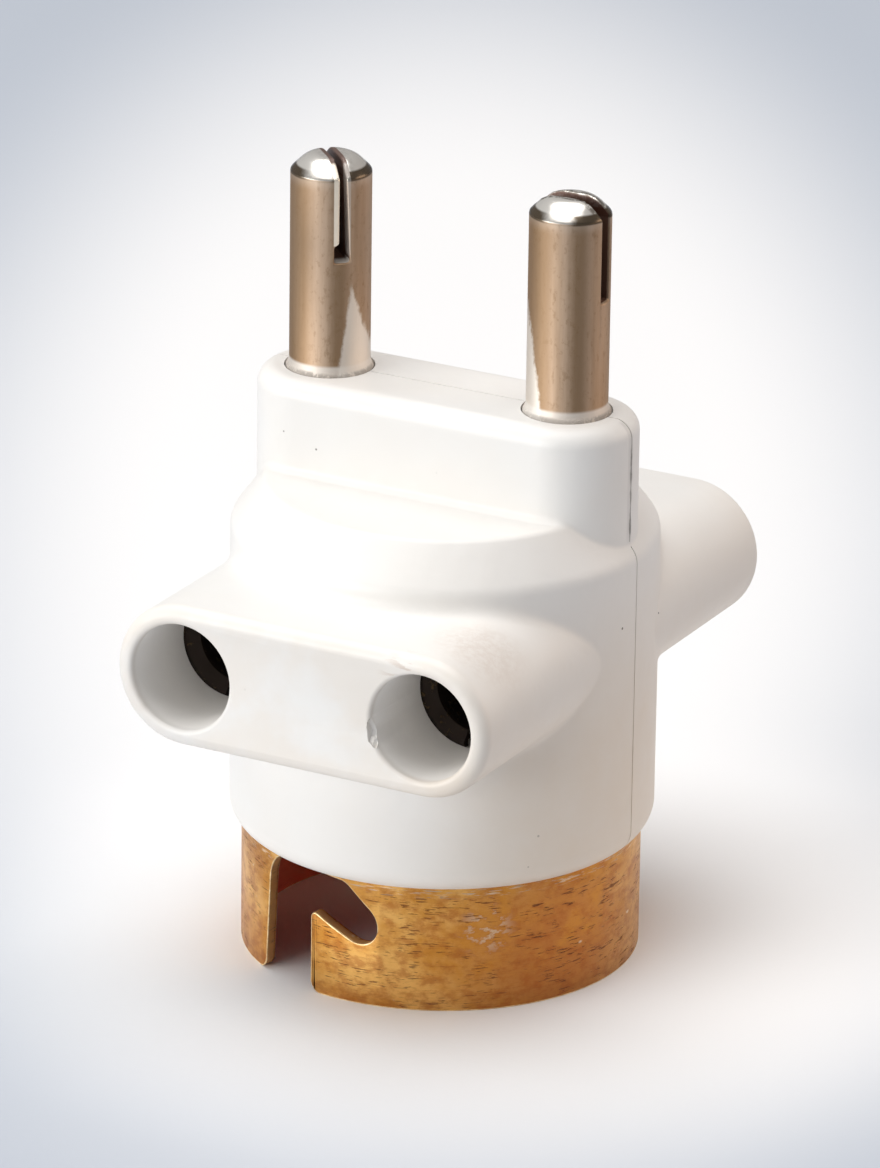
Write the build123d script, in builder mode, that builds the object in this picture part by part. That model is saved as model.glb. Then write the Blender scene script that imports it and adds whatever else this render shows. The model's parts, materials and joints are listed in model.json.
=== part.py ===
"""Lamp holder plug adapter: a two-pin plug on top, a two-pin socket front and back,
and a bayonet lamp holder below. Millimetres, +Z up. The origin is the centre of the
brass skirt's lower rim, X runs along the line of the pins and the front faces -Y."""

import os
from math import cos, radians, sin

from build123d import *

# Plug and socket standard
pin_spacing = 16.66
pin_radius = 2.54
pin_length = 13.8
pin_tip_bevel = 1.05
pin_tip_edge = 0.3
pin_tip_round = 1.6
pin_slit_width = 1.0
pin_slit_depth = 6.45
pin_slit_angles = {"left": -44, "right": 0}

# Moulded body, both halves together
body_wall = 0.8
body_bottom = 7.9
body_edge_round = 1.8
cone_bottom = 27.9
cone_round = 1.5
ledge_height = 30.7
ledge_radius = 11.3
ledge_round = 0.6
block_top = 36.65
block_length = 25.7
block_width = 8.8
block_top_round = 1.2
block_root_round = 0.5
seam_gap = 0.05
seam_depth = 0.1

# Socket housings and their bores
socket_height = 21.9
housing_reach = 18.6
housing_length = 25.8
housing_width = 9.1
housing_face_round = 0.8
housing_root_round = 1.0
bore_radius = 3.42
bore_depth = 6.4

# Bayonet skirt
skirt_radius = 12.6
skirt_wall = 0.8
skirt_height = 14.3
seat_step = 0.3
seat_gap = 0.1
tab_width = 6.0
tab_top = 19.1
tab_reach = 14.6
slot_turn = 180
slot_middle_angle = -99.4
slot_entry_left = -4.75
slot_entry_right = -0.45
slot_top_left = -4.1
slot_top = 8.7
slot_top_round = 2.0
slot_roof = 8.0
slot_roof_right = 2.1
slot_roof_round = 1.2
slot_shoulder = 5.9
slot_shoulder_round = 1.6
slot_corner_round = 0.8
hook_height = 5.6
hook_round = 0.35
notch_start = 2.8
notch_end = 4.2
notch_bottom = 4.05
notch_round = 1.05

# Lamp-holder insulator
rim_bottom = 9.8
rim_wall = 0.55
floor_thickness = 2.7

# Sprung contacts
plunger_spacing = 10.0
plunger_radius = 2.1
plunger_tip = 10.4
plunger_tip_round = 1.0
plunger_flange = 0.7
plunger_bore = 1.5
plunger_nose = 2.1
barrel_radius = 2.7
barrel_wall = 0.25
barrel_cap = 0.5
barrel_foot_radius = 3.2
barrel_foot = 0.5
spring_radius = 1.15
spring_wire = 0.17
spring_turns = 8

# Brass brackets, one for each pole
bracket_thickness = 0.8
bracket_bend_round = 0.5
bracket_corner_round = 1.2
bracket_top = 26.9
bracket_length = 5.8
bracket_foot = 19.0
bracket_inboard = 7.0
bracket_outboard = 11.3
tongue_width = 4.0

# Socket sleeves
sleeve_radius = 3.2
sleeve_bore = 2.6
sleeve_end = 0.5
sleeve_lip_radius = 3.6
sleeve_lip = 0.65
sleeve_slit = 0.8
sleeve_slit_rest = 2.0
stud_radius = 1.2

# Plug pin stems
stem_collar_radius = 3.5
stem_collar = 1.4
stem_collar_height = 31.6
base_ring_radius = 2.75
base_ring_proud = 0.4
base_ring_taper = 30
base_ring_depth = 0.4
base_ring_gap = 0.1
tail_radius = 1.3

# Screw, insert and locating pegs
screw_radius = 1.5
screw_head_radius = 2.75
screw_head = 2.0
screw_slot = 0.8
screw_slot_depth = 1.0
head_depth = 3.0
insert_radius = 2.3
insert_length = 6.0
insert_start = 4.9
insert_groove = 0.35
insert_groove_start = 2.0
insert_groove_width = 2.0
screw_end_gap = 0.6
peg_radius = 1.2
peg_length = 2.0
peg_heights = [28.6, 33.8]

# Clearances
fit = 0.05
pocket_gap = 0.2
barrel_gap = 0.2
sleeve_gap = 0.5

# Worked out from the sizes above
body_radius = skirt_radius + body_wall
skirt_bore = skirt_radius - skirt_wall
seat_radius = skirt_bore + seat_step
floor_top = skirt_height + floor_thickness
pin_x = pin_spacing / 2
plunger_x = plunger_spacing / 2
bore_end = housing_reach - bore_depth
web_bottom = bracket_top - bracket_thickness
leg_outside = bracket_length / 2
leg_inside = leg_outside - bracket_thickness
pin_top = block_top + pin_length
barrel_top = web_bottom
screw_seat = housing_reach - head_depth
tab_half = tab_width / 2 + pocket_gap
tab_inside = (seat_radius ** 2 - tab_half ** 2) ** 0.5 - fit
sides = {"left": -1, "right": 1}
ends = {"front": -1, "rear": 1}


def end_plane(end, reach):
    """A plane across the Y axis at the sockets' height, facing outwards, with X kept."""
    return Plane(origin=(0, end * reach, socket_height), x_dir=(-end, 0, 0), z_dir=(0, end, 0))


def cut_column(x, radius, bottom, top):
    """Cuts a round upright space out of the piece being made."""
    with BuildSketch(Plane.XY.offset(bottom)) as column:
        with Locations((x, 0)):
            Circle(radius)
    extrude(column.sketch, amount=top - bottom, mode=Mode.SUBTRACT)


def cut_block(low, high):
    """Cuts a straight space between two corners out of the piece being made."""
    size = [b - a for a, b in zip(low, high)]
    with BuildSketch(Plane.XY.offset(low[2])) as block:
        with Locations(((low[0] + high[0]) / 2, (low[1] + high[1]) / 2)):
            Rectangle(size[0], size[1])
    extrude(block.sketch, amount=size[2], mode=Mode.SUBTRACT)


def cut_pole_space(side):
    """The space for one pole: plug pin, bracket and plunger barrel."""
    cut_column(side * plunger_x, barrel_radius + barrel_gap, floor_top, barrel_top)
    cut_column(side * plunger_x, barrel_foot_radius + pocket_gap, floor_top,
               floor_top + barrel_foot + pocket_gap)
    inner = bracket_inboard - pocket_gap
    outer = bracket_outboard + pocket_gap
    half = leg_outside + pocket_gap
    low, high = sorted((side * inner, side * outer))
    cut_block((low, -half, bracket_foot - pocket_gap), (high, half, bracket_top + pocket_gap))
    tongue_end = plunger_x - tongue_width / 2 - pocket_gap
    half = tongue_width / 2 + pocket_gap
    low, high = sorted((side * tongue_end, side * outer))
    cut_block((low, -half, web_bottom - pocket_gap), (high, half, bracket_top + pocket_gap))
    cut_column(side * pin_x, pin_radius + fit, bracket_top, block_top)
    cut_column(side * pin_x, stem_collar_radius + fit, stem_collar_height - fit,
               stem_collar_height + stem_collar + fit)
    cut_column(side * pin_x, base_ring_radius + base_ring_gap, block_top - base_ring_depth, block_top)


def cut_socket(side, end):
    """A socket's bore in the housing, and the wider seat of its sleeve behind it."""
    with BuildSketch(end_plane(end, housing_reach)) as bore:
        with Locations((-end * side * pin_x, 0)):
            Circle(bore_radius)
    extrude(bore.sketch, amount=-bore_depth, mode=Mode.SUBTRACT)
    with BuildSketch(end_plane(end, bore_end)) as seat:
        with Locations((-end * side * pin_x, 0)):
            Circle(sleeve_radius + sleeve_gap)
    extrude(seat.sketch, amount=-(bore_end - leg_outside), mode=Mode.SUBTRACT)


def cut_lamp_holder():
    """The round pocket for skirt and insulator, and the pockets for the skirt's ears."""
    cut_column(0, skirt_radius + fit, body_bottom, floor_top)
    for end in ends.values():
        low, high = sorted((end * tab_inside, end * (skirt_radius + fit)))
        cut_block((-tab_half, low, floor_top), (tab_half, high, tab_top + fit))
        low, high = sorted((end * tab_inside, end * (tab_reach + pocket_gap)))
        cut_block((-tab_half, low, tab_top - skirt_wall), (tab_half, high, tab_top + fit))


def cut_seam():
    """A fine step round the parting line, where the two halves meet."""
    with BuildSketch(Plane.XZ) as outline:
        add(body_profile.sketch_local)
        mirror(about=Plane.YZ)
        with Locations((0, (cone_bottom + block_top) / 2)):
            Rectangle(block_length, block_top - cone_bottom)
        fillet(outline.vertices().group_by(Axis.Y)[-1], block_top_round)
        offset(amount=-seam_depth, mode=Mode.SUBTRACT)
    extrude(outline.sketch, amount=seam_gap, both=True, mode=Mode.SUBTRACT)


os.makedirs("parts", exist_ok=True)

# Outer form of the moulded body, before it is parted
with BuildSketch(Plane.XZ) as body_profile:
    with BuildLine():
        FilletPolyline((0, body_bottom), (body_radius, body_bottom), (body_radius, cone_bottom),
                       (ledge_radius, ledge_height), (0, ledge_height),
                       radius=[0, body_edge_round, cone_round, ledge_round, 0], close=True)
    make_face()

with BuildPart() as body_form:
    revolve(body_profile.sketch, axis=Axis.Z)
    with BuildSketch(Plane.XY.offset(cone_bottom)):
        SlotOverall(block_length, block_width)
    extrude(amount=block_top - cone_bottom)
    fillet(body_form.faces().sort_by(Axis.Z)[-1].edges(), block_top_round)
    roots = body_form.edges().filter_by_position(Axis.Y, -block_width / 2 - fit, block_width / 2 + fit)
    roots = roots.filter_by_position(Axis.Z, cone_bottom + cone_round / 2, ledge_height + fit)
    fillet(roots, block_root_round)
    for end in ends.values():
        with BuildSketch(end_plane(end, housing_reach)):
            SlotOverall(housing_length, housing_width)
        extrude(amount=-housing_reach)
    roots = body_form.edges().filter_by(GeomType.LINE, reverse=True)
    roots = roots.filter_by_position(Axis.Y, -body_radius - fit, body_radius + fit)
    roots = roots.filter_by_position(Axis.Z, socket_height - housing_width / 2 - fit,
                                     socket_height + housing_width / 2 + fit)
    fillet(roots, housing_root_round)
    fillet(body_form.faces().sort_by(Axis.Y)[-1].edges(), housing_face_round)
    fillet(body_form.faces().sort_by(Axis.Y)[0].edges(), housing_face_round)

for end_name, end in ends.items():
    with BuildPart() as body_half:
        add(body_form.part)
        split(bisect_by=Plane.XZ, keep=Keep.TOP if end < 0 else Keep.BOTTOM)
        cut_lamp_holder()
        for side in sides.values():
            cut_pole_space(side)
            cut_socket(side, end)
        cut_seam()
        if end > 0:
            with BuildSketch(end_plane(end, housing_reach)):
                Circle(screw_head_radius + pocket_gap)
            extrude(amount=-head_depth, mode=Mode.SUBTRACT)
            with BuildSketch(end_plane(end, housing_reach)):
                Circle(screw_radius + 2 * fit)
            extrude(amount=-housing_reach, mode=Mode.SUBTRACT)
            with BuildSketch(Plane.XZ):
                with Locations(*[(0, height) for height in peg_heights]):
                    Circle(peg_radius + fit)
            extrude(amount=-(peg_length + pocket_gap), mode=Mode.SUBTRACT)
        else:
            with BuildSketch(end_plane(end, insert_start + insert_length + screw_end_gap)):
                Circle(screw_radius + 2 * fit)
            extrude(amount=-(insert_start + insert_length + screw_end_gap), mode=Mode.SUBTRACT)
            with BuildSketch(end_plane(end, insert_start + insert_length)):
                Circle(insert_radius)
            extrude(amount=-insert_length, mode=Mode.SUBTRACT)
            with BuildSketch(Plane.XZ):
                with Locations(*[(0, height) for height in peg_heights]):
                    Circle(peg_radius)
            extrude(amount=-peg_length)
    body_half.part.label = "body_" + end_name + "_half"
    export_step(body_half.part, "parts/body_" + end_name + "_half.step")

# Drawn brass skirt with its two J slots, and two ears that the body halves trap
with BuildPart() as lampholder_skirt:
    with BuildSketch():
        Circle(skirt_radius)
        Circle(skirt_bore, mode=Mode.SUBTRACT)
    extrude(amount=skirt_height)
    with BuildSketch(Plane.XY.offset(skirt_height)):
        Circle(skirt_radius)
        Rectangle(tab_width, 2 * skirt_radius, mode=Mode.INTERSECT)
    extrude(amount=tab_top - skirt_height)
    with BuildSketch(Plane.XY.offset(rim_bottom - seat_gap)):
        Circle(seat_radius)
    extrude(amount=tab_top - rim_bottom + seat_gap, mode=Mode.SUBTRACT)
    with BuildSketch(Plane.XY.offset(tab_top - skirt_wall)):
        Rectangle(tab_width, 2 * tab_reach)
        Rectangle(tab_width, 2 * (skirt_radius - skirt_wall / 2), mode=Mode.SUBTRACT)
    extrude(amount=skirt_wall)
    for turn in (0, slot_turn):
        angle = radians(slot_middle_angle + turn)
        outward = (cos(angle), sin(angle), 0)
        sideways = (-sin(angle), cos(angle), 0)
        with BuildSketch(Plane(origin=(0, 0, 0), x_dir=sideways, z_dir=outward)) as slot:
            with BuildLine():
                FilletPolyline((slot_entry_left, -slot_corner_round), (slot_top_left, slot_top),
                               (slot_roof_right, slot_roof), (notch_end, slot_shoulder),
                               (notch_end, notch_bottom),
                               (notch_start, notch_bottom), (slot_entry_right, hook_height),
                               (slot_entry_right, -slot_corner_round),
                               radius=[0, slot_top_round, slot_roof_round, slot_shoulder_round,
                                       notch_round, notch_round, hook_round, 0], close=True)
            make_face()
        extrude(slot.sketch, amount=2 * skirt_radius, mode=Mode.SUBTRACT)
    rim_corners = lampholder_skirt.edges().filter_by(GeomType.LINE).group_by(Axis.Z)[0]
    fillet(rim_corners, slot_corner_round)
lampholder_skirt.part.label = "lampholder_skirt"
export_step(lampholder_skirt.part, "parts/lampholder_skirt.step")

# Lamp-holder floor: it guides the plungers, and its rim lines the skirt's upper part
with BuildPart() as insulator_disc:
    with BuildSketch(Plane.XY.offset(skirt_height)):
        Circle(skirt_radius)
        with Locations((0, skirt_radius), (0, -skirt_radius)):
            Rectangle(2 * tab_half, 2 * (skirt_radius - tab_inside), mode=Mode.SUBTRACT)
    extrude(amount=floor_thickness)
    with BuildSketch(Plane.XY.offset(rim_bottom)):
        Circle(seat_radius - fit)
        Circle(seat_radius - fit - rim_wall, mode=Mode.SUBTRACT)
    extrude(amount=skirt_height - rim_bottom)
    with BuildSketch(Plane.XY.offset(skirt_height)):
        with Locations((plunger_x, 0), (-plunger_x, 0)):
            Circle(plunger_radius + fit)
    extrude(amount=floor_thickness, mode=Mode.SUBTRACT)
insulator_disc.part.label = "insulator_disc"
export_step(insulator_disc.part, "parts/insulator_disc.step")

for side_name, side in sides.items():
    # Sprung contact: a hollow plunger that hangs by its flange on the lamp-holder floor
    with BuildPart() as plunger:
        with BuildSketch(Plane.XY.offset(plunger_tip)):
            with Locations((side * plunger_x, 0)):
                Circle(plunger_radius)
        extrude(amount=floor_top + fit + plunger_flange - plunger_tip)
        fillet(plunger.edges().group_by(Axis.Z)[0], plunger_tip_round)
        with BuildSketch(Plane.XY.offset(floor_top + fit)):
            with Locations((side * plunger_x, 0)):
                Circle(barrel_radius - barrel_wall - fit)
        extrude(amount=plunger_flange)
        with BuildSketch(Plane.XY.offset(plunger_tip + plunger_nose)):
            with Locations((side * plunger_x, 0)):
                Circle(plunger_bore)
        extrude(amount=floor_top, mode=Mode.SUBTRACT)
    plunger.part.label = "plunger_" + side_name
    export_step(plunger.part, "parts/plunger_" + side_name + ".step")

    # Barrel: closed at its top, with a foot on the lamp-holder floor
    with BuildPart() as barrel:
        with BuildSketch(Plane.XY.offset(floor_top)):
            with Locations((side * plunger_x, 0)):
                Circle(barrel_radius)
        extrude(amount=barrel_top - floor_top)
        with BuildSketch(Plane.XY.offset(floor_top)):
            with Locations((side * plunger_x, 0)):
                Circle(barrel_foot_radius)
        extrude(amount=barrel_foot)
        with BuildSketch(Plane.XY.offset(floor_top)):
            with Locations((side * plunger_x, 0)):
                Circle(barrel_radius - barrel_wall)
        extrude(amount=barrel_top - barrel_cap - floor_top, mode=Mode.SUBTRACT)
    barrel.part.label = "plunger_barrel_" + side_name
    export_step(barrel.part, "parts/plunger_barrel_" + side_name + ".step")

    # Coil spring between the plunger's bore and the barrel's closed end
    spring_low = plunger_tip + plunger_nose + spring_wire
    spring_high = barrel_top - barrel_cap - spring_wire
    with BuildPart() as spring:
        with BuildLine(Plane.XY.offset(spring_low)) as coil:
            Helix((spring_high - spring_low) / spring_turns, spring_high - spring_low, spring_radius,
                  center=(side * plunger_x, 0, 0))
        with BuildSketch(Plane(origin=coil.line @ 0, z_dir=coil.line % 0)):
            RegularPolygon(spring_wire, 6)
        sweep(is_frenet=True)
    spring.part.label = "plunger_spring_" + side_name
    export_step(spring.part, "parts/plunger_spring_" + side_name + ".step")

    # Bracket: two legs carry the sleeves, the top takes the pin's tail, a tongue the barrel
    with BuildPart() as bracket:
        middle = side * (bracket_inboard + bracket_outboard) / 2
        width = bracket_outboard - bracket_inboard
        with BuildSketch(Plane.XY.offset(web_bottom)):
            with Locations((middle, 0)):
                Rectangle(width, bracket_length)
            with Locations((side * (plunger_x + bracket_inboard) / 2, 0)):
                Rectangle(bracket_inboard - plunger_x, tongue_width)
            with Locations((side * plunger_x, 0)):
                Circle(tongue_width / 2)
        extrude(amount=bracket_thickness)
        with BuildSketch(Plane.XY.offset(bracket_foot)):
            with Locations((middle, (leg_outside + leg_inside) / 2),
                           (middle, -(leg_outside + leg_inside) / 2)):
                Rectangle(width, bracket_thickness)
        extrude(amount=web_bottom - bracket_foot)
        fillet(bracket.edges().filter_by(Axis.X).group_by(Axis.Z)[-1], bracket_bend_round)
        fillet(bracket.edges().filter_by(Axis.Y).group_by(Axis.Z)[0], bracket_corner_round)
        with BuildSketch(Plane.XY.offset(web_bottom)):
            with Locations((side * pin_x, 0)):
                Circle(tail_radius + fit)
        extrude(amount=bracket_thickness, mode=Mode.SUBTRACT)
        with BuildSketch(Plane.XZ):
            with Locations((side * pin_x, socket_height)):
                Circle(stud_radius + fit)
        extrude(amount=bracket_length, both=True, mode=Mode.SUBTRACT)
    bracket.part.label = "contact_bracket_" + side_name
    export_step(bracket.part, "parts/contact_bracket_" + side_name + ".step")

    # Plug pin: stem trapped in the body, ring at its base, domed and slit tip
    with BuildPart() as pin:
        with BuildSketch(Plane.XY.offset(web_bottom)):
            with Locations((side * pin_x, 0)):
                Circle(tail_radius)
        extrude(amount=bracket_thickness)
        with BuildSketch(Plane.XY.offset(bracket_top)):
            with Locations((side * pin_x, 0)):
                Circle(pin_radius)
        extrude(amount=pin_top - bracket_top)
        chamfer(pin.edges().group_by(Axis.Z)[-1], pin_tip_bevel)
        rings = pin.edges().filter_by(GeomType.CIRCLE).group_by(Axis.Z)
        fillet(rings[-2], pin_tip_edge)
        fillet(pin.edges().group_by(Axis.Z)[-1], pin_tip_round)
        with BuildSketch(Plane.XY.offset(stem_collar_height)):
            with Locations((side * pin_x, 0)):
                Circle(stem_collar_radius)
        extrude(amount=stem_collar)
        with BuildSketch(Plane.XY.offset(block_top - base_ring_depth)):
            with Locations((side * pin_x, 0)):
                Circle(base_ring_radius)
        extrude(amount=base_ring_depth)
        with BuildSketch(Plane.XY.offset(block_top)):
            with Locations((side * pin_x, 0)):
                Circle(base_ring_radius)
        extrude(amount=base_ring_proud, taper=base_ring_taper)
        with BuildSketch(Plane.XY.offset(pin_top)):
            with Locations(Location((side * pin_x, 0, 0), pin_slit_angles[side_name])):
                Rectangle(4 * pin_radius, pin_slit_width)
        extrude(amount=-pin_slit_depth, mode=Mode.SUBTRACT)
    pin.part.label = "plug_pin_" + side_name
    export_step(pin.part, "parts/plug_pin_" + side_name + ".step")

    for end_name, end in ends.items():
        # Socket sleeve: slit turned tube, closed end riveted to the bracket's leg
        with BuildPart() as sleeve:
            with BuildSketch(end_plane(end, leg_inside)):
                with Locations((-end * side * pin_x, 0)):
                    Circle(stud_radius)
            extrude(amount=bracket_thickness)
            with BuildSketch(end_plane(end, leg_outside)):
                with Locations((-end * side * pin_x, 0)):
                    Circle(sleeve_radius)
            extrude(amount=bore_end - fit - leg_outside)
            with BuildSketch(end_plane(end, bore_end - fit)):
                with Locations((-end * side * pin_x, 0)):
                    Circle(sleeve_lip_radius)
            extrude(amount=-sleeve_lip)
            with BuildSketch(end_plane(end, leg_outside + sleeve_end)):
                with Locations((-end * side * pin_x, 0)):
                    Circle(sleeve_bore)
            extrude(amount=housing_reach, mode=Mode.SUBTRACT)
            mouth = sleeve.edges().filter_by(GeomType.CIRCLE).group_by(Axis.Y)[-1 if end > 0 else 0]
            chamfer(mouth.sort_by(SortBy.RADIUS)[0], sleeve_lip)
            with BuildSketch(end_plane(end, leg_outside + sleeve_end + sleeve_slit_rest)):
                with Locations((-end * side * pin_x, 0)):
                    Rectangle(sleeve_slit, 4 * sleeve_radius)
            extrude(amount=housing_reach, mode=Mode.SUBTRACT)
        sleeve.part.label = "socket_sleeve_" + end_name + "_" + side_name
        export_step(sleeve.part, "parts/socket_sleeve_" + end_name + "_" + side_name + ".step")

# Screw from the rear, with a slotted cheese head
with BuildPart() as body_screw:
    with BuildSketch(end_plane(1, screw_seat)):
        Circle(screw_radius)
    extrude(amount=-(screw_seat + insert_start + insert_length))
    with BuildSketch(end_plane(1, screw_seat)):
        Circle(screw_head_radius)
    extrude(amount=screw_head)
    with BuildSketch(end_plane(1, screw_seat + screw_head)):
        Rectangle(3 * screw_head_radius, screw_slot)
    extrude(amount=-screw_slot_depth, mode=Mode.SUBTRACT)
body_screw.part.label = "body_screw"
export_step(body_screw.part, "parts/body_screw.step")

# Brass insert moulded into the front half, with a groove that locks it
with BuildPart() as threaded_insert:
    with BuildSketch(end_plane(-1, insert_start)):
        Circle(insert_radius)
        Circle(screw_radius + fit / 2, mode=Mode.SUBTRACT)
    extrude(amount=insert_length)
    with BuildSketch(end_plane(-1, insert_start + insert_groove_start)):
        Circle(2 * insert_radius)
        Circle(insert_radius - insert_groove, mode=Mode.SUBTRACT)
    extrude(amount=insert_groove_width, mode=Mode.SUBTRACT)
threaded_insert.part.label = "threaded_insert"
export_step(threaded_insert.part, "parts/threaded_insert.step")
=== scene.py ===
# Finishes, wear, floor, light and camera for the lamp holder plug adapter
import json
import math

import bpy
from mathutils import Matrix, Vector

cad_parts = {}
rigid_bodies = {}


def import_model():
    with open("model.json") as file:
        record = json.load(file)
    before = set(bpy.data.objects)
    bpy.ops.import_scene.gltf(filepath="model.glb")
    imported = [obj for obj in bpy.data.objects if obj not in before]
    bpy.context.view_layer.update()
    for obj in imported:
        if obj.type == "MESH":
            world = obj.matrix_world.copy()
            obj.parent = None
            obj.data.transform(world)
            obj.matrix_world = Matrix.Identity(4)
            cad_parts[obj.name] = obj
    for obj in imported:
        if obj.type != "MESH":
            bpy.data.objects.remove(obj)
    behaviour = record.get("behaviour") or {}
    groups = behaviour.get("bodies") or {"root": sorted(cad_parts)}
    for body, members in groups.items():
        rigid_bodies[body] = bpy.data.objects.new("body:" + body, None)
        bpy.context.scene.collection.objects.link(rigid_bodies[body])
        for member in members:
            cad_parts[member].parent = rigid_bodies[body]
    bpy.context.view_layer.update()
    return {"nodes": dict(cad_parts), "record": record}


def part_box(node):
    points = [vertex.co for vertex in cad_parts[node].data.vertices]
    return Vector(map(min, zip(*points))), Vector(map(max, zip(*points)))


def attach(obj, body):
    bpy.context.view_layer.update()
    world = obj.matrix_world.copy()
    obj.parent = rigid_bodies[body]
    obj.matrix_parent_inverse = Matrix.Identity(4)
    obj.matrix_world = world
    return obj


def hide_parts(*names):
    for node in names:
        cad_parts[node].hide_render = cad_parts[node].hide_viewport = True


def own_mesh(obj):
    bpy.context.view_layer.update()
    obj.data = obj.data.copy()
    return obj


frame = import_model()
mm = 0.001                                          # in metres: floor side, lamps, camera. The rest in mm
print("frame loaded:", len(frame["nodes"]), "CAD nodes")


class Signal:                                       # one shader socket, so that finishes read as sums
    def __init__(self, finish, socket):
        self.finish, self.socket = finish, socket

    def maths(self, operation, first, second=0.0):
        return self.finish.node("ShaderNodeMath", {"operation": operation}, {0: first, 1: second})

    def __add__(self, other):
        return self.maths("ADD", self, other)

    def __radd__(self, other):
        return self.maths("ADD", other, self)

    def __sub__(self, other):
        return self.maths("SUBTRACT", self, other)

    def __rsub__(self, other):
        return self.maths("SUBTRACT", other, self)

    def __mul__(self, other):
        return self.maths("MULTIPLY", self, other)

    def __rmul__(self, other):
        return self.maths("MULTIPLY", other, self)

    def __abs__(self):
        return self.maths("ABSOLUTE", self)

    def above(self, edge, soft):                    # 0 below the edge, 1 above, soft is the change's width
        return self.finish.node("ShaderNodeMapRange", {"interpolation_type": "SMOOTHSTEP"},
                                {0: self, 1: edge - soft / 2, 2: edge + soft / 2})

    def below(self, edge, soft):
        return 1 - self.above(edge, soft)


class Finish:                                       # a material while it is being made
    def __init__(self, name, constants):
        self.material = bpy.data.materials.new(name)
        self.material.use_nodes = True
        self.tree = self.material.node_tree
        self.shader = self.tree.nodes["Principled BSDF"]
        for socket, value in constants.items():
            self.shader.inputs[socket].default_value = value
        raw = self.node("ShaderNodeTexCoord", {}, {}, "Object")
        self.place = self.node("ShaderNodeVectorMath", {"operation": "SCALE"}, {0: raw, "Scale": 1 / mm})
        split = self.node("ShaderNodeSeparateXYZ", {}, {0: self.place})
        self.x, self.y, self.z = (Signal(self, split.socket.node.outputs[axis]) for axis in "XYZ")

    def node(self, kind, settings, values, output=0):
        made = self.tree.nodes.new(kind)
        for name, value in settings.items():
            setattr(made, name, value)
        for name, value in values.items():
            if isinstance(value, Signal):
                self.tree.links.new(value.socket, made.inputs[name])
            else:
                made.inputs[name].default_value = value
        return Signal(self, made.outputs[output])

    def mix(self, share, first, second):            # colours, as (r, g, b) or as signals
        first, second = ((*tint, 1) if isinstance(tint, tuple) else tint for tint in (first, second))
        return self.node("ShaderNodeMix", {"data_type": "RGBA"}, {0: share, 6: first, 7: second}, 2)

    def noise(self, size, stretch=(1, 1, 1), detail=4, rough=0.55, shift=(0, 0, 0)):
        spot = self.node("ShaderNodeMapping", {}, {"Vector": self.place, "Location": shift,
                                                   "Scale": [1 / (size * s) for s in stretch]})
        return self.node("ShaderNodeTexNoise", {}, {"Vector": spot, "Scale": 1, "Detail": detail,
                                                    "Roughness": rough})

    def grains(self, size, stretch=(1, 1, 1)):      # distance to the nearest of many scattered points
        spot = self.node("ShaderNodeMapping", {}, {"Vector": self.place,
                                                   "Scale": [1 / (size * s) for s in stretch]})
        return self.node("ShaderNodeTexVoronoi", {}, {"Vector": spot, "Scale": 1})

    def near(self, centre, reach):                  # 1 at a point, fading to 0 at the reach
        gap = self.node("ShaderNodeVectorMath", {"operation": "DISTANCE"},
                        {0: self.place, 1: centre}, "Value")
        return gap.below(reach * 0.6, reach * 0.8)

    def fromAxis(self, x, y):                       # distance from an upright axis
        flat = self.node("ShaderNodeVectorMath", {"operation": "MULTIPLY"}, {0: self.place, 1: (1, 1, 0)})
        return self.node("ShaderNodeVectorMath", {"operation": "DISTANCE"},
                         {0: flat, 1: (x, y, 0)}, "Value")

    def done(self, colour, roughness, height=None, depth=0.0, metallic=None):
        self.tree.links.new(colour.socket, self.shader.inputs["Base Color"])
        self.tree.links.new(roughness.socket, self.shader.inputs["Roughness"])
        if metallic:
            self.tree.links.new(metallic.socket, self.shader.inputs["Metallic"])
        if height:
            bump = self.node("ShaderNodeBump", {}, {"Strength": 1.0, "Distance": depth * mm,
                                                    "Height": height})
            self.tree.links.new(bump.socket, self.shader.inputs["Normal"])
        return self.material


def boxOf(node):                                    # a node's box in millimetres
    low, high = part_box(node)
    return low / mm, high / mm


def middleOf(node):
    low, high = boxOf(node)
    return (low + high) / 2


# Each mark is a dark speck, as its centre and its reach. boreSquared is the square of the distance from a
# socket hole's axis up to which the inside of the hole is painted paler, as painted light.
moulding = {"colour": (0.812, 0.798, 0.774), "agedAndWarmShade": (0.74, 0.64, 0.53), "smudge": (0.46, 0.33, 0.25),
            "dirtAndSeamShadow": (0.07, 0.05, 0.04), "bore": (0.95, 0.92, 0.88), "roughness": 0.34, "waviness": 0.10,
            "warmShade": 0.75, "warmShadeRight": 7.5, "warmShadeBelow": 22, "boreSquared": 13.2,
            "smudgeAt": (10.2, -14.2, 26.0), "smudgeReach": 4.2,
            "scuffAt": (7.2, -18.8, 25.2), "scuffReach": 2.0,
            "speckSize": 2.6, "seamHalf": 0.16, "blockFoot": 29.0,
            "marks": [((12.7, -1.6, 31.6), 0.16), ((9.4, -18.7, 25.0), 0.14), ((1.6, -18.7, 22.9), 0.11),
                      ((-6.8, -4.4, 32.6), 0.10), ((4.2, -12.7, 8.5), 0.12), ((11.6, -6.4, 18.2), 0.12)]}


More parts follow.
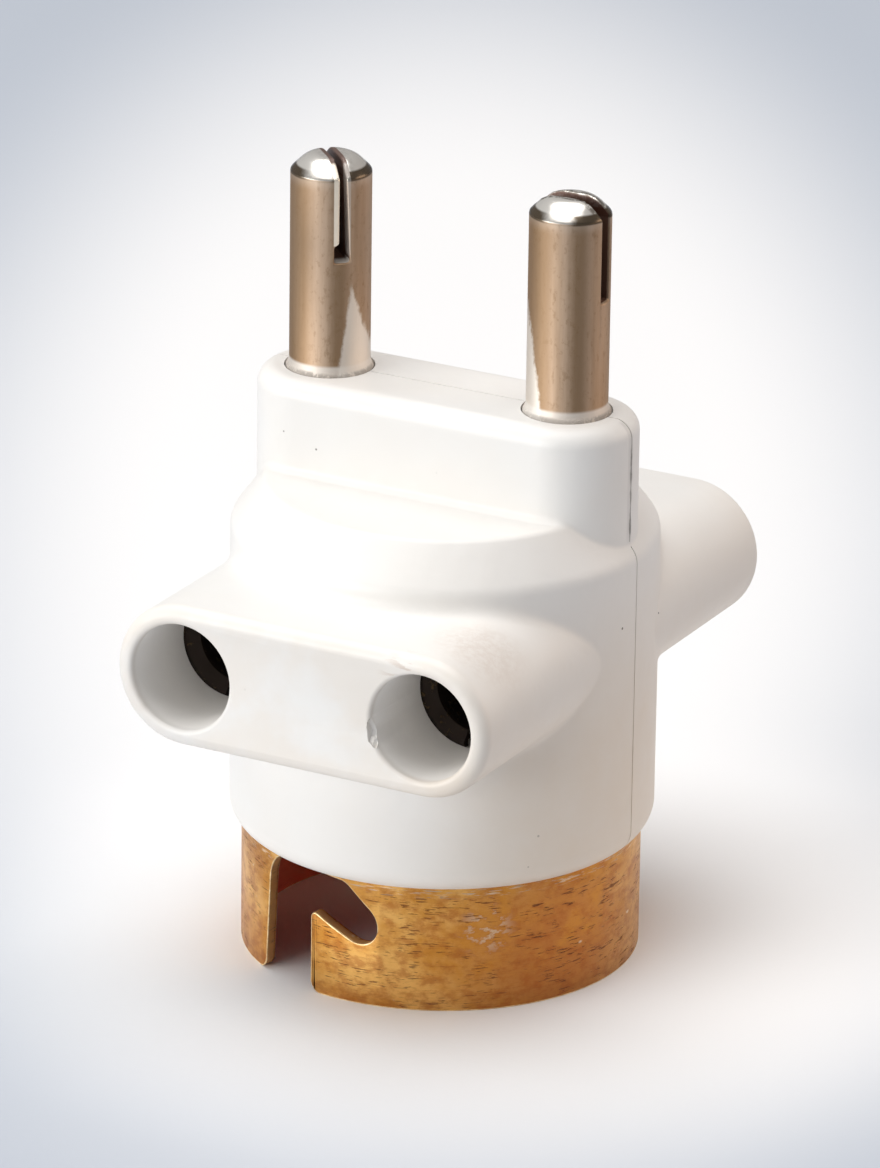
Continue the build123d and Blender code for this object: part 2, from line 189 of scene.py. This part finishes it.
def whiteMoulding():
    f = Finish("whiteMoulding", {"Metallic": 0.0, "IOR": 1.5})
    low, high = boxOf("body_front_half")
    mouth = middleOf("socket_sleeve_front_right")
    clouds = f.noise(9, detail=3)
    fine = f.noise(0.7, detail=6, rough=0.6)
    faceMark = f.y.below(low.y + 0.6, 1.0) * f.noise(5, detail=4).above(0.46, 0.3)
    colour = f.mix(clouds.above(0.52, 0.5) * 0.16 + faceMark * 0.34, moulding["colour"], moulding["agedAndWarmShade"])
    fingered = 0.35 + f.noise(0.5, detail=5, rough=0.7).above(0.5, 0.3) * 0.65
    smudge = f.near(moulding["smudgeAt"], moulding["smudgeReach"]) * fingered
    streaks = f.noise(0.5, (3, 1, 0.6), detail=5).above(0.56, 0.08)
    scuffs = f.near(moulding["scuffAt"], moulding["scuffReach"]) * streaks
    colour = f.mix(smudge * 0.30 + scuffs * 0.45, colour, moulding["smudge"])
    # Painted warm shade, mottled: on the right side and low down the moulding is tinted brown.
    warmShade = f.x.above(moulding["warmShadeRight"], 9) * f.z.below(moulding["warmShadeBelow"], 14)
    warmShade = warmShade * (0.75 + f.noise(2.4, detail=5) * 0.5) * moulding["warmShade"]
    colour = f.mix(warmShade, colour, moulding["agedAndWarmShade"])
    # Dust sits in the parting line, most of all at the ends of the plug block; beside the seam there a
    # shadow is painted.
    joint = abs(f.y).below(moulding["seamHalf"], 0.12) * f.z.below(high.z - 1.0, 0.8)
    blockEnd = abs(f.x).above(boxOf("plug_pin_right")[1].x + 0.3, 0.4)
    blockEnd = blockEnd * f.z.above(moulding["blockFoot"], 1.0)
    dustAndSeamShadow = joint * f.noise(1.2, detail=5).above(0.50, 0.3) * (0.04 + blockEnd * 0.50)
    # Painted shadow: a dark strip beside the seam's step at the ends of the plug block.
    dustAndSeamShadow = dustAndSeamShadow + abs(f.y + moulding["seamHalf"]).below(0.24, 0.1) * blockEnd * 0.12
    rare = f.noise(6.5, detail=2, shift=(3, 1, 7)).above(0.56, 0.1)
    specks = f.grains(moulding["speckSize"]).below(0.032, 0.015) * rare
    for spot, reach in moulding["marks"]:
        specks = specks + f.near(spot, reach)
    # Painted light: the inside of each socket hole is painted paler than the rest of the moulding.
    boreX, boreZ = abs(f.x) - abs(mouth.x), f.z - mouth.z
    bore = (boreX * boreX + boreZ * boreZ).below(moulding["boreSquared"], 0.6)
    bore = bore * abs(f.y).below(abs(low.y) - 0.5, 0.6)
    colour = f.mix(bore * 0.8, colour, moulding["bore"])
    colour = f.mix(dustAndSeamShadow + specks * 0.85, colour, moulding["dirtAndSeamShadow"])
    roughness = moulding["roughness"] + fine * 0.12 + clouds * 0.08 + smudge * 0.1
    height = f.noise(4.5, detail=3) + fine * 0.05 - specks * 0.2
    return f.done(colour, roughness, height, moulding["waviness"])


# innerFrom, cutFrom and cutTo are depths in the skirt's wall, from its outer face.
brassSheet = {"gold": (0.58, 0.255, 0.045), "pale": (0.80, 0.46, 0.14), "copper": (0.37, 0.105, 0.025),
              "brown": (0.25, 0.085, 0.028), "insideBounce": (0.86, 0.22, 0.15), "scratch": (0.13, 0.04, 0.014),
              "cut": (0.78, 0.50, 0.24), "fleck": (0.86, 0.76, 0.60), "haze": (0.74, 0.66, 0.50),
              "roughness": 0.27, "innerFrom": 0.72, "cutFrom": 0.06, "cutTo": 0.62,
              "brownAt": (11.5, -5.5, 3.5), "brownReach": 10.0,
              "hazeAt": (8.3, -9.4, 5.4), "hazeReach": 2.2}


def skirtBrass():
    f = Finish("skirtBrass", {"IOR": 1.5})
    wallOut = boxOf("lampholder_skirt")[1].x
    bodyLow = boxOf("body_front_half")[0].z
    radial = f.fromAxis(0, 0)
    clouds = f.noise(4.2, (1, 1, 0.8), detail=6, rough=0.6)
    mottle = f.noise(1.1, (1, 1, 0.6), detail=5, rough=0.65, shift=(7, 3, 2))
    drawn = f.noise(2.6, (1, 1, 0.03), detail=5, rough=0.7)            # drawing lines run round the cup
    dashes = f.noise(1.1, (1, 1, 0.09), detail=4, shift=(5, 2, 0))
    patches = f.noise(3.0, (1, 1, 0.55), detail=3, shift=(1, 8, 3))
    scratches = dashes.above(0.61, 0.05) * patches.above(0.505, 0.06)
    colour = f.mix(clouds.above(0.50, 0.30), brassSheet["gold"], brassSheet["pale"])
    colour = f.mix(mottle.above(0.54, 0.24) * 0.55, colour, brassSheet["copper"])
    burntAndShade = f.near(brassSheet["brownAt"], brassSheet["brownReach"]) * clouds.above(0.42, 0.3)
    rim = f.z.below(0.9, 1.2) * mottle.above(0.40, 0.3)
    colour = f.mix(burntAndShade * 0.78, colour, brassSheet["copper"])
    colour = f.mix(rim * 0.22 + drawn.above(0.62, 0.2) * 0.22, colour, brassSheet["brown"])
    hazed = f.near(brassSheet["hazeAt"], brassSheet["hazeReach"]) * mottle.above(0.57, 0.08)
    colour = f.mix(hazed * 0.5, colour, brassSheet["haze"])
    colour = f.mix(scratches * 0.70, colour, brassSheet["scratch"])
    # Painted light: the inner wall of the cup is painted red, for light bounced about inside the brass.
    insideBounce = radial.below(wallOut - brassSheet["innerFrom"], 0.04)
    colour = f.mix(insideBounce * 0.85, colour, brassSheet["insideBounce"])
    cut = radial.above(wallOut - brassSheet["cutTo"], 0.06)
    cut = cut * radial.below(wallOut - brassSheet["cutFrom"], 0.06)
    colour = f.mix(cut * (0.15 + mottle * 0.5), colour, brassSheet["cut"])
    lacquer = abs(f.z - bodyLow + 0.35).below(0.25, 0.3) * dashes.above(0.58, 0.1) * 0.7
    flecks = f.grains(1.5, (1, 1, 0.5)).below(0.14, 0.1) * f.noise(2.5, detail=3).above(0.60, 0.06)
    flecks = flecks + lacquer
    colour = f.mix(flecks * 0.7, colour, brassSheet["fleck"])
    roughness = brassSheet["roughness"] + cut * 0.3 + drawn * 0.12 + mottle * 0.10
    roughness = roughness + scratches * 0.25 + flecks * 0.25
    height = drawn * 0.25 + clouds * 0.8 + mottle * 0.35 - scratches * 0.5 + flecks * 0.3
    return f.done(colour, roughness, height, 0.04, 1 - 0.6 * flecks - 0.3 * scratches - 0.4 * cut)


rubbedBrass = {"colour": (0.95, 0.74, 0.42), "dull": (0.55, 0.30, 0.10), "roughness": 0.30}


def edgeBrass():                                    # where handling has polished the cut edges
    f = Finish("rubbedBrass", {"IOR": 1.5, "Metallic": 0.75})
    worn = f.noise(0.9, detail=5, rough=0.7)
    colour = f.mix(worn.above(0.52, 0.25) * 0.7, rubbedBrass["colour"], rubbedBrass["dull"])
    return f.done(colour, rubbedBrass["roughness"] + worn * 0.2, worn, 0.02)


# The pin is cut round at "above", over the slit's foot, and again "ramp" higher, so that its edges can bend.
# Each bend is the side of the slit, the height over its foot where it starts, and the push.
sawLip = {"pin": "plug_pin_left", "above": 1.05, "ramp": 0.2, "middle": 0.36, "half": 0.2,
          "farMiddle": 0.3, "farHalf": 0.22, "outside": 1.6,
          "bends": [(-1, 1.15, 0.32), (1, 2.0, 0.24), (1, 0.5, 0.06)]}

# Each line of silver bounds the bright plating: its place across the pin as a share of the radius,
# its slope for each millimetre up, and the side that is bright.
nickelPin = {"metal": (0.545, 0.405, 0.295), "bareAndGlint": (0.86, 0.82, 0.76), "lip": (0.97, 0.89, 0.76),
             "tarnishAndReflection": (0.29, 0.185, 0.10), "slit": (0.085, 0.028, 0.014), "grit": (0.10, 0.075, 0.055),
             "ring": (0.80, 0.76, 0.71), "burntAndShade": (0.12, 0.09, 0.06), "roughness": 0.52,
             "radius": 2.54, "tipWear": {"left": 0.15, "right": 0.75}, "tipHeight": 1.08, "tipShine": 0.20,
             "turnedAt": 0.93, "ringHeight": 0.62, "gritHeight": 0.2,
             "slitHalf": 0.5, "slitDepth": 6.45, "slitTurn": {"left": -44, "right": 0}, "facing": -61.9,
             "silver": {"left": [(0.19, 0.056, 1), (1.22, -0.115, -1)], "right": [(-0.62, -0.05, -1)]}}


def lipColours(f, colour, across, along, slitFoot, inSlit):   # bright where the saw bent the edges
    outside = along.above(sawLip["outside"], 0.3)
    lip = abs(across + sawLip["middle"]).below(sawLip["half"], 0.06) * outside
    colour = f.mix(lip * f.z.above(slitFoot + sawLip["above"] + 0.1, 0.1), colour, nickelPin["lip"])
    farLip = abs(across - sawLip["farMiddle"]).below(sawLip["farHalf"], 0.06) * outside
    farLip = farLip * f.z.above(slitFoot + 0.4, 0.4)
    # Painted highlight: the front of the slit's floor is painted light where it catches the light.
    slitFloor = f.z.below(slitFoot + 0.22, 0.08) * along.above(1.5, 0.6) * inSlit
    return f.mix(farLip * 0.4 + slitFloor * 0.7, colour, nickelPin["bareAndGlint"])


def pinNickel(side):
    node = "plug_pin_" + side
    f = Finish("pinNickel" + side.capitalize(), {"IOR": 1.5})
    pinTop = boxOf(node)[1].z
    blockTop = boxOf("body_front_half")[1].z
    slitFoot = pinTop - nickelPin["slitDepth"]
    centre = middleOf(node)
    fromX, fromY = f.x - centre.x, f.y - centre.y
    turn = math.radians(nickelPin["slitTurn"][side])
    across = fromY * math.cos(turn) - fromX * math.sin(turn)
    along = fromX * math.cos(turn) + fromY * math.sin(turn)
    inSlit = abs(across).below(nickelPin["slitHalf"] + 0.02, 0.04)
    inSlit = inSlit * f.fromAxis(centre.x, centre.y).below(nickelPin["radius"] - 0.18, 0.1)
    inSlit = inSlit * f.z.above(slitFoot - 0.04, 0.06)
    brushed = f.noise(0.7, (1, 1, 16), detail=5, rough=0.65)                # wiped along the pin
    pits = f.noise(0.35, (1, 1, 1.6), detail=4, rough=0.7, shift=(2, 6, 1))
    ahead = math.radians(nickelPin["facing"])
    aside = (fromY * math.cos(ahead) - fromX * math.sin(ahead)) * (1 / nickelPin["radius"])
    aside = aside + (pits - 0.5) * 0.16 + (brushed - 0.5) * 0.12
    silver = (fromX * math.cos(ahead) + fromY * math.sin(ahead)).above(0, 0.2)    # the camera's side
    for edge, rise, sense in nickelPin["silver"][side]:
        silver = silver * ((aside - (f.z - blockTop) * rise - edge) * sense).above(0.02, 0.10)
    tip = f.z.above(pinTop - nickelPin["tipHeight"], 0.06)
    tip = tip + f.z.above(pinTop - nickelPin["tipHeight"] - 0.4, 0.9) * 0.15
    dull = brushed.above(0.5, 0.4) * 0.38 + pits.above(0.60, 0.12) * 0.30
    colour = f.mix(dull, nickelPin["metal"], nickelPin["tarnishAndReflection"])
    # Painted shade and painted dark reflections across the pin as the camera sees it: darker at the left
    # edge, in a band right of the middle, and a little at the right.
    shadeAcross = aside.below(-0.48, 0.35) * 0.78 + abs(aside - 0.22).below(0.18, 0.28) * 0.72
    shadeAcross = shadeAcross + aside.above(0.52, 0.2) * 0.28
    colour = f.mix(shadeAcross, colour, nickelPin["tarnishAndReflection"])
    colour = f.mix(silver * 0.8 + tip, colour, nickelPin["bareAndGlint"])
    # Dark oxide on the chamfer band below the tip, with painted dark reflections on both sides of it as the
    # camera sees it.
    turnedEdge = abs(f.z - pinTop + nickelPin["turnedAt"]).below(0.26, 0.12)
    turnedEdge = turnedEdge * (0.25 + abs(aside + 0.30).above(0.34, 0.24) * 0.75)
    colour = f.mix(turnedEdge, colour, nickelPin["burntAndShade"])
    battered = (abs(across) - 0.45).below(0.45, 0.2) * pits.above(0.47, 0.12) * f.z.above(pinTop - 0.9, 0.3)
    colour = f.mix(battered * nickelPin["tipWear"][side], colour, nickelPin["burntAndShade"])
    ring = f.z.below(blockTop + nickelPin["ringHeight"], 0.25)
    colour = f.mix(ring * 0.75, colour, nickelPin["ring"])
    grit = f.z.below(blockTop + nickelPin["gritHeight"], 0.2) * pits.above(0.44, 0.2)
    colour = f.mix(grit * 0.42, colour, nickelPin["grit"])
    # The inside of the slit is painted nearly black: grime and painted shade.
    colour = f.mix(inSlit * 0.9, colour, nickelPin["slit"])
    if node == sawLip["pin"]:
        colour = lipColours(f, colour, across, along, slitFoot, inSlit)
    roughness = nickelPin["roughness"] + brushed * 0.10 + pits * 0.06
    roughness = roughness - tip * (nickelPin["roughness"] - nickelPin["tipShine"])
    roughness = roughness + grit * 0.4 + inSlit * 0.2
    height = brushed * 0.4 + pits * 0.25 * (1 - tip) + grit * 1.2
    return f.done(colour, roughness, height, 0.02, 1 - 0.7 * grit - 0.35 * ring - 0.3 * inSlit - 0.3 * tip)


# Painted shade: the sleeves deep in the socket holes, and the brass hidden inside the body, are painted
# nearly black, with a few rubbed spots.
contactMetal = {"dark": (0.018, 0.012, 0.009), "lip": (0.03, 0.018, 0.012), "bright": (0.60, 0.42, 0.20),
                "roughness": 0.45}


def shadedBrass(name, lipAt):                    # lipAt: from the seam to the sleeve's mouth, or None
    f = Finish(name, {"IOR": 1.5})
    clouds = f.noise(1.6, detail=5)
    rub = f.noise(0.6, detail=4, shift=(4, 4, 4)).above(0.63, 0.06)
    ring = abs(f.y).above(lipAt - 0.9, 0.5) if lipAt else clouds.above(0.3, 0.4)
    colour = f.mix(ring * (0.5 + clouds * 0.5), contactMetal["dark"], contactMetal["lip"])
    colour = f.mix(rub * 0.12, colour, contactMetal["bright"])
    return f.done(colour, contactMetal["roughness"] + clouds * 0.25 - rub * 0.2, clouds + rub, 0.03,
                  0.55 + rub * 0.4)


springBrass = {"colour": (0.62, 0.40, 0.15), "dull": (0.26, 0.15, 0.06), "roughness": 0.26}


def cleanBrass():
    f = Finish("contactBrass", {"IOR": 1.5, "Metallic": 1.0})
    clouds = f.noise(1.3, detail=5)
    turned = f.noise(0.9, (1, 1, 0.06), detail=3)                           # turning marks
    colour = f.mix(clouds.above(0.52, 0.3), springBrass["colour"], springBrass["dull"])
    return f.done(colour, springBrass["roughness"] + clouds * 0.2, turned + clouds * 0.6, 0.015)


phenolic = {"colour": (0.70, 0.12, 0.06), "pale": (0.76, 0.20, 0.11), "dust": (0.42, 0.26, 0.18),
            "roughness": 0.40}


def darkInsulation():
    f = Finish("darkInsulation", {"Metallic": 0.0, "IOR": 1.55})
    clouds = f.noise(2.4, detail=5)
    flour = f.noise(0.25, detail=3)                                # the filler that shows in such mouldings
    dust = f.noise(1.1, detail=5, shift=(9, 2, 2)).above(0.58, 0.15)
    colour = f.mix(clouds.above(0.5, 0.4) * 0.6 + flour * 0.2, phenolic["colour"], phenolic["pale"])
    colour = f.mix(dust * 0.35, colour, phenolic["dust"])
    return f.done(colour, phenolic["roughness"] + clouds * 0.15 + dust * 0.25, clouds + flour * 0.3, 0.03)


steel = {"colour": (0.50, 0.49, 0.47), "rust": (0.17, 0.075, 0.03), "roughness": 0.28}


def plainSteel(name, stretch):                      # stretch: how far the marks are drawn out along Y
    f = Finish(name, {"IOR": 1.5, "Metallic": 1.0})
    clouds = f.noise(0.9, (1, stretch, 1), detail=5)
    spots = f.noise(0.5, detail=5, shift=(1, 5, 2)).above(0.6, 0.1)
    colour = f.mix(spots * 0.5 + clouds * 0.15, steel["colour"], steel["rust"])
    return f.done(colour, steel["roughness"] + clouds * 0.2 + spots * 0.25, clouds, 0.01)


def dress(material, *pieces):                       # the finish goes into every material slot of each piece
    for piece in pieces:
        piece.data.materials.clear()
        piece.data.materials.append(material)


meshCare = {"merge": 0.001, "flatAngle": 0.4, "smoothAngle": 32}
nodes = frame["nodes"]
bodies = frame["record"]["behaviour"]["bodies"]
bodyOf = {node: body for body, members in bodies.items() for node in members}


def startEdit(piece):                               # only this piece is selected, all of it in edit mode
    bpy.ops.object.select_all(action="DESELECT")
    piece.select_set(True)
    bpy.context.view_layer.objects.active = piece
    bpy.ops.object.mode_set(mode="EDIT")
    bpy.ops.mesh.select_all(action="SELECT")


def copyNode(node):                                 # a node's own shape again, as a piece that can be worn
    piece = bpy.data.objects.new(node + "Worn", nodes[node].data.copy())
    bpy.context.collection.objects.link(piece)
    startEdit(piece)
    bpy.ops.mesh.customdata_custom_splitnormals_clear()
    bpy.ops.mesh.remove_doubles(threshold=meshCare["merge"] * mm)
    bpy.ops.mesh.dissolve_limited(angle_limit=math.radians(meshCare["flatAngle"]))
    bpy.ops.object.mode_set(mode="OBJECT")
    return piece


def finishPiece(piece, node, body=None):            # the piece replaces the node, on its body or another
    bpy.ops.object.select_all(action="DESELECT")
    piece.select_set(True)
    bpy.context.view_layer.objects.active = piece
    bpy.ops.object.shade_smooth_by_angle(angle=math.radians(meshCare["smoothAngle"]))
    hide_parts(node)
    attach(piece, body or bodyOf[node])


def raiseLip(piece):                                # the saw pushed the edges of this pin's slit inwards
    centre = middleOf(sawLip["pin"])
    slitFoot = boxOf(sawLip["pin"])[1].z - nickelPin["slitDepth"]
    turn = math.radians(nickelPin["slitTurn"]["left"])
    across = Vector((-math.sin(turn), math.cos(turn), 0))
    start = slitFoot + sawLip["above"]
    startEdit(piece)
    for height in (start, start + sawLip["ramp"]):
        bpy.ops.mesh.select_all(action="SELECT")
        bpy.ops.mesh.bisect(plane_co=(0, 0, height * mm), plane_no=(0, 0, 1))
    for sense, above, push in sawLip["bends"]:
        bpy.ops.mesh.select_all(action="DESELECT")
        bpy.ops.mesh.select_mode(type="VERT")
        bpy.ops.object.mode_set(mode="OBJECT")
        for corner in piece.data.vertices:
            spot = corner.co / mm - Vector((centre.x, centre.y, 0))
            wall = abs(spot.dot(across) - sense * nickelPin["slitHalf"]) < 0.03
            corner.select = wall and spot.z > slitFoot + above
        bpy.ops.object.mode_set(mode="EDIT")
        bpy.ops.transform.translate(value=across * (-sense * push) * mm)
    bpy.ops.object.mode_set(mode="OBJECT")


wornEdge = {"steps": 3, "sharpAngle": 40,
            "width": {"lampholder_skirt": 0.09, "insulator_disc": 0.12,
                      "plug_pin_left": 0.13, "plug_pin_right": 0.13}}


def wearEdges(node, material, onEdges=None):        # every sharp edge is rounded a little
    piece = copyNode(node)
    dress(material, piece)
    if node == sawLip["pin"]:
        raiseLip(piece)
    worn = piece.modifiers.new("wornEdge", "BEVEL")
    worn.width = wornEdge["width"][node] * mm
    worn.segments = wornEdge["steps"]
    worn.use_clamp_overlap = False
    worn.limit_method = "ANGLE"
    worn.angle_limit = math.radians(wornEdge["sharpAngle"])
    if onEdges:
        piece.data.materials.append(onEdges)
        worn.material = 1                           # the rounded faces get the second material
    bpy.ops.object.modifier_apply(modifier=worn.name)
    finishPiece(piece, node)


bodyWear = {"mouthRound": 0.28, "mouthSteps": 4, "socketReach": 3.6, "screwReach": 3.1,
            "chipped": "front", "chipAt": (5.40, -18.75, 21.3), "chipSize": (0.72, 0.9, 1.2),
            "chipRough": 0.10}


def roundMouths(piece, faceY):                      # the rims of the holes in a housing's face
    startEdit(piece)
    bpy.ops.mesh.select_all(action="DESELECT")
    bpy.ops.mesh.select_mode(type="EDGE")
    bpy.ops.object.mode_set(mode="OBJECT")
    centres = [middleOf("socket_sleeve_rear_" + side) for side in ("left", "right")]
    holes = [(centre.x, centre.z, bodyWear["socketReach"]) for centre in centres]
    holes.append((0, centres[0].z, bodyWear["screwReach"]))
    for edge in piece.data.edges:
        ends = [piece.data.vertices[i].co / mm for i in edge.vertices]
        onFace = all(abs(end.y - faceY) < 0.02 for end in ends)
        edge.select = onFace and any(all(math.hypot(end.x - x, end.z - z) < reach for end in ends)
                                     for x, z, reach in holes)
    bpy.ops.object.mode_set(mode="EDIT")
    bpy.ops.mesh.bevel(offset=bodyWear["mouthRound"] * mm, segments=bodyWear["mouthSteps"],
                       clamp_overlap=False)
    bpy.ops.object.mode_set(mode="OBJECT")


def chipRim(piece):                                 # a flake is out of the right hole's rim
    bpy.ops.object.select_all(action="DESELECT")
    bpy.ops.mesh.primitive_ico_sphere_add(subdivisions=3, radius=mm)
    flake = bpy.context.object
    bpy.ops.object.mode_set(mode="EDIT")
    bpy.ops.transform.vertex_random(offset=bodyWear["chipRough"] * mm, uniform=0.3, normal=1.0, seed=4)
    bpy.ops.transform.resize(value=bodyWear["chipSize"])
    bpy.ops.transform.translate(value=Vector(bodyWear["chipAt"]) * mm)
    bpy.ops.object.mode_set(mode="OBJECT")
    cut = piece.modifiers.new("chip", "BOOLEAN")
    cut.object = flake
    cut.operation = "DIFFERENCE"
    cut.solver = "EXACT"
    bpy.context.view_layer.objects.active = piece
    bpy.ops.object.modifier_apply(modifier=cut.name)
    bpy.data.objects.remove(flake)


def wearShell(end, material):                       # a body half with its mouths rounded and perhaps chipped
    node = "body_%s_half" % end
    shell = copyNode(node)
    roundMouths(shell, boxOf(node)[0 if end == "front" else 1].y)
    if end == bodyWear["chipped"]:
        chipRim(shell)
    dress(material, shell)
    finishPiece(shell, node)


def squeezeSpring(side, material):                  # a copy of the spring, put on the body that its plunger slides in
    node = "plunger_spring_" + side
    low, high = boxOf(node)
    joints = {joint["name"]: joint for joint in frame["record"]["behaviour"]["joints"]}
    joint = joints[side + "_plunger_slide"]
    travel = max(joint["range_m"]) / mm
    piece = copyNode(node)
    dress(material, piece)
    finishPiece(piece, node, joint["parent"])
    1 - travel / (high.z - low.z)
    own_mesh(piece)


brass = cleanBrass()
sleeveShadowBrass = shadedBrass("sleeveShadowBrass", abs(boxOf("socket_sleeve_rear_left")[1].y))
shadowBrass = shadedBrass("shadowBrass", None)
white = whiteMoulding()
for end in ("front", "rear"):
    wearShell(end, white)
wearEdges("lampholder_skirt", skirtBrass(), edgeBrass())
wearEdges("insulator_disc", darkInsulation())
for side in ("left", "right"):
    wearEdges("plug_pin_" + side, pinNickel(side))
print("worn pieces made")
springSteel = plainSteel("springSteel", 1)
for side in ("left", "right"):
    squeezeSpring(side, springSteel)
dress(plainSteel("screwSteel", 6), nodes["body_screw"])
dress(shadowBrass, nodes["threaded_insert"])
for side in ("left", "right"):
    dress(brass, nodes["plunger_" + side])
    dress(shadowBrass, nodes["plunger_barrel_" + side], nodes["contact_bracket_" + side])
    dress(sleeveShadowBrass, *(nodes["socket_sleeve_%s_%s" % (end, side)] for end in ("front", "rear")))
print("finishes made:", len(bpy.data.materials))


photo = {"azimuth": 28.121, "elevation": 20.834, "roll": -0.798, "distance": 0.5,
         "lens": 246.0, "aim": (0, 0, 18 * mm), "slide": (-0.288 * mm, 5.182 * mm)}


def makeCamera():
    turn, lift, roll = (math.radians(photo[k]) for k in ("azimuth", "elevation", "roll"))
    back = Vector((math.sin(turn) * math.cos(lift), -math.cos(turn) * math.cos(lift), math.sin(lift)))
    right = Vector((math.cos(turn), math.sin(turn), 0))
    up = back.cross(right)
    place = Vector(photo["aim"]) + right * photo["slide"][0] + up * photo["slide"][1]
    place = place + back * photo["distance"]
    sideways = right * math.cos(roll) - up * math.sin(roll)
    upwards = right * math.sin(roll) + up * math.cos(roll)
    data = bpy.data.cameras.new("photoCamera")
    data.lens, data.clip_start, data.clip_end = photo["lens"], 0.01, 20
    camera = bpy.data.objects.new("photoCamera", data)
    bpy.context.collection.objects.link(camera)
    axes = Matrix((sideways, upwards, back)).transposed()
    camera.matrix_world = Matrix.Translation(place) @ axes.to_4x4()
    bpy.context.scene.camera = camera


# Painted light: the paper is white within an oval, in millimetres, as a pool of light,
# and bluish grey beyond it and near the camera, as painted shade.
studio = {"floorSide": 3.0, "white": (0.84, 0.84, 0.845), "edge": (0.455, 0.495, 0.56),
          "lightPoolCentre": (-39.5, 74, 0), "lightPoolReach": (27.5, 92, 1), "falloffFrom": 1.25, "falloffSoft": 1.1,
          "nearFrom": -30, "nearSoft": 36, "nearShade": 0.48,
          "bright": (0.885, 0.88, 0.88), "lightSpotAt": (5, 4, 0), "lightSpotReach": 28, "lightSpotSoft": 30}


def makeFloor():
    bpy.ops.object.select_all(action="DESELECT")
    bpy.ops.mesh.primitive_plane_add(size=studio["floorSide"])
    floor = bpy.context.object
    floor.name = "studioFloor"
    f = Finish("floorPaper", {"Metallic": 0.0})
    ahead = math.radians(photo["azimuth"])
    oval = f.node("ShaderNodeMapping", {"vector_type": "TEXTURE"},
                  {"Vector": f.place, "Location": studio["lightPoolCentre"], "Scale": studio["lightPoolReach"],
                   "Rotation": (0, 0, ahead)})
    far = f.node("ShaderNodeVectorMath", {"operation": "LENGTH"}, {0: oval}, "Value")
    paper = f.noise(0.6, detail=4)
    # Painted shade: the paper is darker towards the camera.
    nearby = (f.y * math.cos(ahead) - f.x * math.sin(ahead)).below(studio["nearFrom"], studio["nearSoft"])
    colour = f.mix(far.above(studio["falloffFrom"], studio["falloffSoft"]), studio["white"], studio["edge"])
    colour = f.mix(nearby * studio["nearShade"], colour, studio["edge"])
    # Painted light: a paler spot on the floor round the plug lifts its shadow.
    spot = f.node("ShaderNodeVectorMath", {"operation": "DISTANCE"},
                  {0: f.place, 1: studio["lightSpotAt"]}, "Value")
    colour = f.mix(spot.below(studio["lightSpotReach"], studio["lightSpotSoft"]), colour, studio["bright"])
    f.done(colour, 0.75 + paper * 0.1, paper, 0.01)
    dress(f.material, floor)


lamps = {"keyLight": {"power": 9.0, "size": (1.1, 0.42),
                      "spot": (-0.55, -0.89, 0.25), "colour": (1.0, 0.99, 0.97)},
         "fillLight": {"power": 1.75, "size": (0.5, 0.5),
                       "spot": (0.60, 0.42, 0.28), "colour": (1.0, 0.78, 0.62)},
         "topLight": {"power": 6.9, "size": (0.9, 0.9),
                      "spot": (-0.10, 0.0, 0.80), "colour": (1.0, 1.0, 1.0)}}
sky = {"colour": (0.95, 0.97, 1.0, 1), "strength": 0.18, "lampAim": (0, 0, 0.022)}


def makeLight(name, power, size, spot, colour):
    light = bpy.data.lights.new(name, "AREA")
    light.energy = power
    light.color = colour
    light.shape = "ELLIPSE"
    light.size, light.size_y = size
    lamp = bpy.data.objects.new(name, light)
    bpy.context.collection.objects.link(lamp)
    lamp.location = spot
    lamp.rotation_mode = "QUATERNION"
    lamp.rotation_quaternion = (Vector(sky["lampAim"]) - Vector(spot)).to_track_quat("-Z", "Y")


def lightStudio():
    world = bpy.data.worlds.new("studioSky")
    world.use_nodes = True
    background = world.node_tree.nodes["Background"]
    background.inputs["Color"].default_value = sky["colour"]
    background.inputs["Strength"].default_value = sky["strength"]
    bpy.context.scene.world = world
    for name, lamp in lamps.items():
        makeLight(name, **lamp)
    bpy.context.scene.view_settings.view_transform = "Standard"


makeFloor()
makeCamera()
lightStudio()
print("studio ready")
